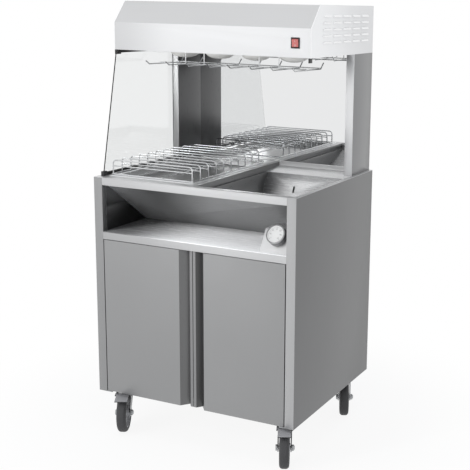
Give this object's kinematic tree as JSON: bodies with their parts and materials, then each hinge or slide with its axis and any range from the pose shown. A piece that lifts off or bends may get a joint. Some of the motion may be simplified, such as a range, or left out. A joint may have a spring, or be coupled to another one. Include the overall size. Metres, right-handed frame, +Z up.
{
  "type": "chip warmer",
  "caption": "Mobile stainless steel chip warmer with a heated chip bin, carton rack, lamp hood on two columns, mirror back, open shelf and two-door cupboard on castors.",
  "frame": {"origin": "on the floor, under the middle of the overall box", "axes": "+Z up, the doors face -Y, +X to the right when facing the doors"},
  "size_m": [0.7, 0.6041, 1.371],
  "materials": {
    "steel_light": "satin brushed stainless steel, light",
    "steel_mid": "satin brushed stainless steel",
    "steel_door": "satin brushed stainless steel, door skins",
    "chrome_wire": "bright chrome plated wire",
    "zinc": "bright zinc plated steel",
    "mirror": "silvered glass",
    "glass": "clear toughened glass",
    "black_rubber": "black rubber strip",
    "black_plastic": "black plastic",
    "white_plastic": "white plastic",
    "red_lens": "red rocker lens",
    "lamp_glass": "reflector lamp glass",
    "tyre_grey": "grey rubber tyre",
    "hub_plastic": "grey plastic hub",
    "pedal_grey": "grey painted pedal",
    "ceramic": "white ceramic holder"
  },
  "bodies": {
    "cabinet": {"left_side_panel": "steel_mid", "right_side_panel": "steel_mid", "back_panel": "steel_mid", "base_panel": "steel_mid", "top_rail": "steel_mid", "mid_rail": "steel_mid", "mid_shelf": "steel_light", "shelf_liner": "steel_mid", "control_box": "steel_light", "thermostat": "black_plastic", "top_deck": "steel_mid", "rack_tray": "steel_light", "chip_bin": "steel_light", "left_column": "steel_mid", "right_column": "steel_mid", "mirror_panel": "mirror", "upper_back": "steel_mid", "side_glass": "glass", "glass_seals": "black_rubber", "glass_clips": "black_plastic", "hood_shell": "steel_light", "left_cheek": "steel_light", "right_cheek": "steel_light", "lamp_carrier": "zinc", "lamp_holders": "ceramic", "heat_lamps": "lamp_glass", "wire_guard": "chrome_wire", "switch_body": "black_plastic", "cable_gland": "black_plastic", "hinge_brackets": "zinc", "hinge_pins": "zinc", "castor_plates": "zinc", "castor_bolts": "zinc"},
    "left_door": {"left_door_skin": "steel_door", "left_door_liner": "steel_mid"},
    "right_door": {"right_door_skin": "steel_door", "right_door_liner": "steel_mid"},
    "dial": {"dial_knob": "black_plastic", "dial_face": "white_plastic"},
    "switch_rocker": {"rocker": "red_lens"},
    "rack": {"carton_rack": "chrome_wire"},
    "castor_fl": {"fork_fl": "zinc", "axle_fl": "zinc"},
    "wheel_fl": {"hub_fl": "hub_plastic", "tyre_fl": "tyre_grey"},
    "brake_fl": {"pedal_fl": "pedal_grey"},
    "castor_fr": {"fork_fr": "zinc", "axle_fr": "zinc"},
    "wheel_fr": {"hub_fr": "hub_plastic", "tyre_fr": "tyre_grey"},
    "brake_fr": {"pedal_fr": "pedal_grey"},
    "castor_rl": {"fork_rl": "zinc", "axle_rl": "zinc"},
    "wheel_rl": {"hub_rl": "hub_plastic", "tyre_rl": "tyre_grey"},
    "castor_rr": {"fork_rr": "zinc", "axle_rr": "zinc"},
    "wheel_rr": {"hub_rr": "hub_plastic", "tyre_rr": "tyre_grey"}
  },
  "joints": [
    {"name": "left_door_hinge", "type": "hinge", "parent": "cabinet", "child": "left_door", "pos_m": [-0.311, -0.26228, 0.389], "axis": [0, 0, -1], "range_deg": [0, 105]},
    {"name": "right_door_hinge", "type": "hinge", "parent": "cabinet", "child": "right_door", "pos_m": [0.311, -0.26228, 0.389], "axis": [0, 0, 1], "range_deg": [0, 105]},
    {"name": "dial_turn", "type": "hinge", "parent": "cabinet", "child": "dial", "pos_m": [0.275, -0.23123, 0.7086], "axis": [0, 0.848, -0.5299], "range_deg": [0, 270]},
    {"name": "rocker_tilt", "type": "hinge", "parent": "cabinet", "child": "switch_rocker", "pos_m": [0.288, -0.15828, 1.264], "axis": [-1, 0, 0], "range_deg": [0, 14]},
    {"name": "rack_lift", "type": "slide", "parent": "cabinet", "child": "rack", "axis": [0, 0, 1], "range_m": [0, 0.25]},
    {"name": "castor_fl_swivel", "type": "hinge", "parent": "cabinet", "child": "castor_fl", "pos_m": [-0.292, -0.20628, 0.136], "axis": [0, 0, 1], "continuous": true},
    {"name": "wheel_fl_spin", "type": "hinge", "parent": "castor_fl", "child": "wheel_fl", "pos_m": [-0.27509, -0.24254, 0.0625], "axis": [0.9063, 0.4226, 0], "continuous": true},
    {"name": "brake_fl_press", "type": "hinge", "parent": "castor_fl", "child": "brake_fl", "pos_m": [-0.28355, -0.22441, 0.12], "axis": [0.9063, 0.4226, 0], "range_deg": [0, 4]},
    {"name": "castor_fr_swivel", "type": "hinge", "parent": "cabinet", "child": "castor_fr", "pos_m": [0.292, -0.20628, 0.136], "axis": [0, 0, 1], "continuous": true},
    {"name": "wheel_fr_spin", "type": "hinge", "parent": "castor_fr", "child": "wheel_fr", "pos_m": [0.3089, -0.24254, 0.0625], "axis": [0.9063, 0.4226, 0], "continuous": true},
    {"name": "brake_fr_press", "type": "hinge", "parent": "castor_fr", "child": "brake_fr", "pos_m": [0.30045, -0.22441, 0.12], "axis": [0.9063, 0.4226, 0], "range_deg": [0, 4]},
    {"name": "castor_rl_swivel", "type": "hinge", "parent": "cabinet", "child": "castor_rl", "pos_m": [-0.292, 0.23972, 0.136], "axis": [0, 0, 1], "continuous": true},
    {"name": "wheel_rl_spin", "type": "hinge", "parent": "castor_rl", "child": "wheel_rl", "pos_m": [-0.27509, 0.20346, 0.0625], "axis": [0.9063, 0.4226, 0], "continuous": true},
    {"name": "castor_rr_swivel", "type": "hinge", "parent": "cabinet", "child": "castor_rr", "pos_m": [0.292, 0.23972, 0.136], "axis": [0, 0, 1], "continuous": true},
    {"name": "wheel_rr_spin", "type": "hinge", "parent": "castor_rr", "child": "wheel_rr", "pos_m": [0.3089, 0.20346, 0.0625], "axis": [0.9063, 0.4226, 0], "continuous": true}
  ]
}
